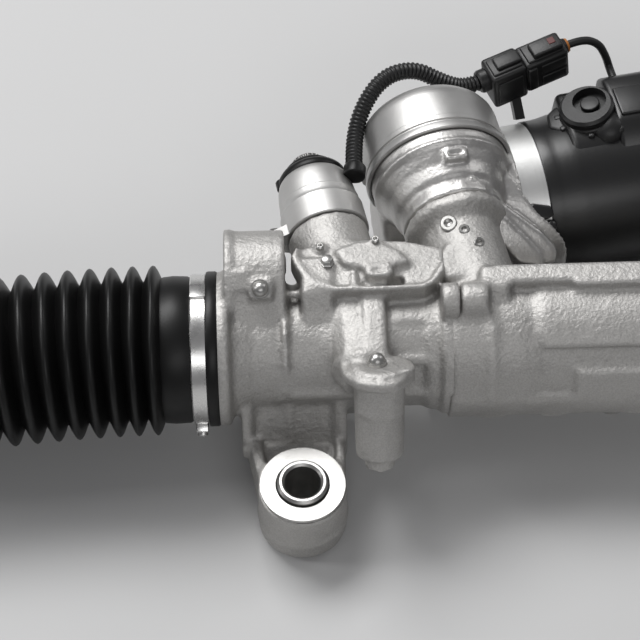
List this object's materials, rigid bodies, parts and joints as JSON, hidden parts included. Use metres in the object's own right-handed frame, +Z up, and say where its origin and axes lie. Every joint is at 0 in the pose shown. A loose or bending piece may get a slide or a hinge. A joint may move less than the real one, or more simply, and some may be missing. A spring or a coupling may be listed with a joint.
{
  "type": "electric power steering rack",
  "caption": "Electric power steering rack: rack in a cast aluminium housing, input and assist pinions, motor, boots, tie rods and rubber-bushed mounting lugs.",
  "frame": {"origin": "axis of the left mounting bush, at the bottom face of its steel sleeve", "axes": "+X along the rack to the right-hand tie rod, +Y towards the input shaft, +Z up along the bush"},
  "size_m": [1.3238, 0.227, 0.0965],
  "materials": {
    "cast_aluminium": "satin, as cast",
    "machined_aluminium": "fine turned satin",
    "zinc_steel": "satin zinc",
    "dark_steel": "ground and oiled",
    "black_rubber": "matt",
    "black_plastic": "fine grain",
    "black_paint": "satin",
    "copper_iron": "wound",
    "bronze": "satin"
  },
  "bodies": {
    "housing": {"gear_housing": "cast_aluminium", "rack_tube": "cast_aluminium", "housing_joint_bolts": "zinc_steel", "mount_shell_left": "zinc_steel", "mount_shell_right": "zinc_steel", "mount_rubbers": "black_rubber", "mount_sleeve_left": "zinc_steel", "mount_sleeve_right": "zinc_steel", "cover_plugs": "zinc_steel", "rack_bush": "black_plastic", "rack_guides": "bronze", "guide_springs": "dark_steel", "guide_plugs": "zinc_steel", "pinion_ball_bearings": "dark_steel", "pinion_needle_bearings": "dark_steel", "sensor_housing": "machined_aluminium", "sensor_coil": "copper_iron", "sensor_bush": "bronze", "dust_sleeve": "black_rubber", "small_screws": "zinc_steel", "worm_housing": "cast_aluminium", "worm_cover": "machined_aluminium", "worm_bearings": "dark_steel", "motor_bell": "machined_aluminium", "motor_cover": "black_paint", "motor_stator": "copper_iron", "ecu_socket": "black_plastic", "harness_conduit": "black_plastic", "harness_lead": "black_plastic", "connector_plug": "black_plastic", "connector_socket": "black_plastic", "connector_clip": "zinc_steel", "boot_left": "black_rubber", "boot_right": "black_rubber", "boot_clamp_left": "zinc_steel", "boot_clamp_right": "zinc_steel"},
    "rack": {"rack_bar": "dark_steel", "inner_socket_left": "dark_steel", "inner_socket_right": "dark_steel"},
    "pinion": {"input_pinion": "dark_steel", "torsion_bar": "dark_steel"},
    "input": {"input_shaft": "dark_steel"},
    "assist": {"assist_pinion": "dark_steel", "worm_wheel": "black_plastic"},
    "worm": {"worm_shaft": "dark_steel", "motor_rotor": "copper_iron"},
    "left_rod": {"tie_rod_left": "dark_steel", "jam_nut_left": "zinc_steel", "tie_rod_end_left": "dark_steel", "boot_clip_left": "zinc_steel"},
    "right_rod": {"tie_rod_right": "dark_steel", "jam_nut_right": "zinc_steel", "tie_rod_end_right": "dark_steel", "boot_clip_right": "zinc_steel"},
    "left_stud": {"ball_stud_left": "dark_steel", "castle_nut_left": "zinc_steel", "stud_boot_left": "black_rubber"},
    "right_stud": {"ball_stud_right": "dark_steel", "castle_nut_right": "zinc_steel", "stud_boot_right": "black_rubber"}
  },
  "joints": [
    {"name": "rack_slide", "type": "slide", "parent": "housing", "child": "rack", "axis": [1, 0, 0], "range_m": [-0.072, 0.072], "deforming": ["boot_left", "boot_right"]},
    {"name": "pinion_spin", "type": "hinge", "parent": "housing", "child": "pinion", "pos_m": [0.01471, 0.09533, 0.0655], "axis": [-0.1822, 0.9833, 0], "range_deg": [-520, 520]},
    {"name": "input_twist", "type": "hinge", "parent": "pinion", "child": "input", "pos_m": [0.00924, 0.12483, 0.0655], "axis": [-0.1822, 0.9833, 0], "range_deg": [-4.5, 4.5], "stiffness_Nm_per_rad": 143},
    {"name": "assist_spin", "type": "hinge", "parent": "housing", "child": "assist", "pos_m": [0.06971, 0.09533, 0.0655], "axis": [-0.1822, 0.9833, 0], "range_deg": [-520, 520]},
    {"name": "worm_spin", "type": "hinge", "parent": "housing", "child": "worm", "pos_m": [0.06279, 0.13269, 0.036], "axis": [0.9833, 0.1822, 0], "range_deg": [-9500, 9500]},
    {"name": "left_rod_swing", "type": "hinge", "parent": "rack", "child": "left_rod", "pos_m": [-0.144, 0.056, 0.049], "axis": [-0.2111, 0.9775, 0], "range_deg": [-20, 20], "deforming": ["boot_left"]},
    {"name": "right_rod_swing", "type": "hinge", "parent": "rack", "child": "right_rod", "pos_m": [0.512, 0.056, 0.049], "axis": [-0.2111, -0.9775, 0], "range_deg": [-20, 20], "deforming": ["boot_right"]},
    {"name": "left_stud_spin", "type": "hinge", "parent": "left_rod", "child": "left_stud", "pos_m": [-0.46009, -0.01225, 0.0165], "axis": [-0.0977, -0.0211, 0.995], "continuous": true},
    {"name": "right_stud_spin", "type": "hinge", "parent": "right_rod", "child": "right_stud", "pos_m": [0.82809, -0.01225, 0.0165], "axis": [0.0977, -0.0211, 0.995], "continuous": true}
  ],
  "couplings": [
    {"joint": "pinion_spin", "follows": "rack_slide", "rad_per_m": -122.91},
    {"joint": "assist_spin", "follows": "rack_slide", "rad_per_m": -122.91},
    {"joint": "worm_spin", "follows": "rack_slide", "rad_per_m": -2273.8}
  ]
}
